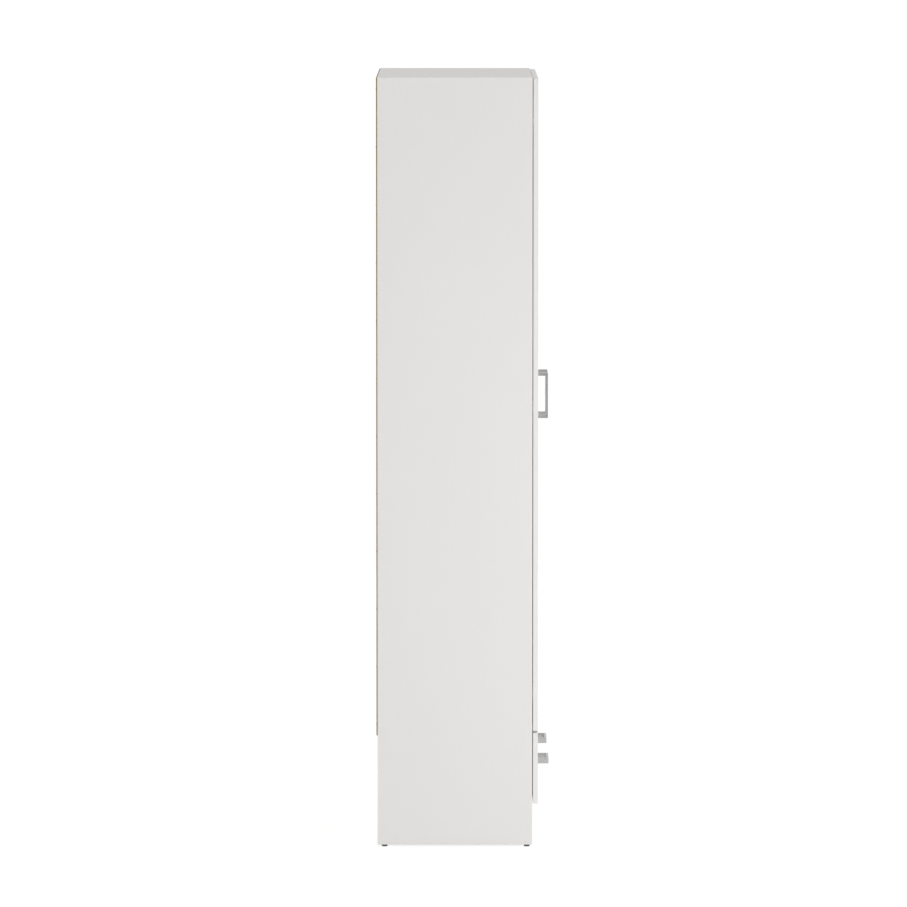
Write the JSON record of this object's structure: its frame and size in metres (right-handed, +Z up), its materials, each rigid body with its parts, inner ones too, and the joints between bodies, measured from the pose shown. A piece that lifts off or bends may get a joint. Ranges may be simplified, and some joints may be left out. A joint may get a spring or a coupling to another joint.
{
  "type": "wardrobe",
  "caption": "Tall shallow white wardrobe with two hinged doors over side-by-side drawers, a hanging rail, a hat shelf and metal bow handles.",
  "frame": {"origin": "on the floor, midway across the width and the overall depth, handles included", "axes": "+Z up, the doors face -Y, +X to the right of a person who faces them"},
  "size_m": [0.9, 0.4508, 2],
  "materials": {
    "white_board": "white melamine-faced chipboard, faintly grained, with banded edges",
    "hardboard": "raw tan hardboard with a white inner face",
    "handle_metal": "satin grey metal",
    "hinge_steel": "nickel-plated pressed steel",
    "runner_enamel": "white epoxy-coated steel",
    "roller_plastic": "white moulded plastic",
    "rail_chrome": "chromed steel tube",
    "glide_plastic": "black moulded plastic",
    "strip_plastic": "white extruded plastic",
    "cam_zinc": "die-cast zinc",
    "screw_steel": "zinc-plated steel",
    "dowel_beech": "fluted beech"
  },
  "bodies": {
    "carcass": {"left_side_panel": "white_board", "right_side_panel": "white_board", "top_panel": "white_board", "upper_shelf": "white_board", "compartment_floor": "white_board", "base_panel": "white_board", "drawer_divider": "white_board", "front_plinth": "white_board", "rear_rail": "white_board", "back_panel_left": "hardboard", "back_panel_right": "hardboard", "back_joining_strip": "strip_plastic", "back_panel_nails": "screw_steel", "hanging_rail": "rail_chrome", "rail_sockets": "rail_chrome", "wall_brackets": "screw_steel", "cam_locks": "cam_zinc", "cam_bolts": "screw_steel", "dowels": "dowel_beech", "floor_glides": "glide_plastic", "hinge_plates": "hinge_steel", "hinge_arms": "hinge_steel", "cabinet_runners": "runner_enamel", "carcass_screws": "screw_steel"},
    "left_door": {"left_door_panel": "white_board", "left_door_handle": "handle_metal", "left_door_handle_screws": "screw_steel", "left_hinge_cups": "hinge_steel", "left_hinge_pins": "hinge_steel", "left_hinge_cup_screws": "screw_steel"},
    "left_drawer": {"left_drawer_front": "white_board", "left_drawer_left_side": "white_board", "left_drawer_right_side": "white_board", "left_drawer_back": "white_board", "left_drawer_bottom": "hardboard", "left_drawer_dowels": "dowel_beech", "left_drawer_runners": "runner_enamel", "left_drawer_runner_screws": "screw_steel", "left_drawer_handle": "handle_metal", "left_drawer_handle_screws": "screw_steel"},
    "left_front_roller_pair": {"left_front_rollers": "roller_plastic"},
    "left_rear_roller_pair": {"left_rear_rollers": "roller_plastic"},
    "right_door": {"right_door_panel": "white_board", "right_door_handle": "handle_metal", "right_door_handle_screws": "screw_steel", "right_hinge_cups": "hinge_steel", "right_hinge_pins": "hinge_steel", "right_hinge_cup_screws": "screw_steel"},
    "right_drawer": {"right_drawer_front": "white_board", "right_drawer_left_side": "white_board", "right_drawer_right_side": "white_board", "right_drawer_back": "white_board", "right_drawer_bottom": "hardboard", "right_drawer_dowels": "dowel_beech", "right_drawer_runners": "runner_enamel", "right_drawer_runner_screws": "screw_steel", "right_drawer_handle": "handle_metal", "right_drawer_handle_screws": "screw_steel"},
    "right_front_roller_pair": {"right_front_rollers": "roller_plastic"},
    "right_rear_roller_pair": {"right_rear_rollers": "roller_plastic"}
  },
  "joints": [
    {"name": "left_door_hinge", "type": "hinge", "parent": "carcass", "child": "left_door", "pos_m": [-0.443, -0.1907, 1.14975], "axis": [0, 0, -1], "range_deg": [0, 95]},
    {"name": "left_drawer_slide", "type": "slide", "parent": "carcass", "child": "left_drawer", "axis": [0, -1, 0], "range_m": [0, 0.26]},
    {"name": "left_front_roller_turn", "type": "hinge", "parent": "carcass", "child": "left_front_roller_pair", "pos_m": [-0.22125, -0.1606, 0.139], "axis": [1, 0, 0], "range_deg": [0, 1695]},
    {"name": "left_rear_roller_turn", "type": "hinge", "parent": "left_drawer", "child": "left_rear_roller_pair", "pos_m": [-0.22125, 0.1596, 0.139], "axis": [1, 0, 0], "range_deg": [0, 2263]},
    {"name": "right_door_hinge", "type": "hinge", "parent": "carcass", "child": "right_door", "pos_m": [0.443, -0.1907, 1.14975], "axis": [0, 0, 1], "range_deg": [0, 95]},
    {"name": "right_drawer_slide", "type": "slide", "parent": "carcass", "child": "right_drawer", "axis": [0, -1, 0], "range_m": [0, 0.26]},
    {"name": "right_front_roller_turn", "type": "hinge", "parent": "carcass", "child": "right_front_roller_pair", "pos_m": [0.22125, -0.1606, 0.139], "axis": [1, 0, 0], "range_deg": [0, 1695]},
    {"name": "right_rear_roller_turn", "type": "hinge", "parent": "right_drawer", "child": "right_rear_roller_pair", "pos_m": [0.22125, 0.1596, 0.139], "axis": [1, 0, 0], "range_deg": [0, 2263]}
  ],
  "couplings": [
    {"joint": "left_front_roller_turn", "follows": "left_drawer_slide", "rad_per_m": 111.11},
    {"joint": "left_rear_roller_turn", "follows": "left_drawer_slide", "rad_per_m": 149.25},
    {"joint": "right_front_roller_turn", "follows": "right_drawer_slide", "rad_per_m": 111.11},
    {"joint": "right_rear_roller_turn", "follows": "right_drawer_slide", "rad_per_m": 149.25}
  ]
}
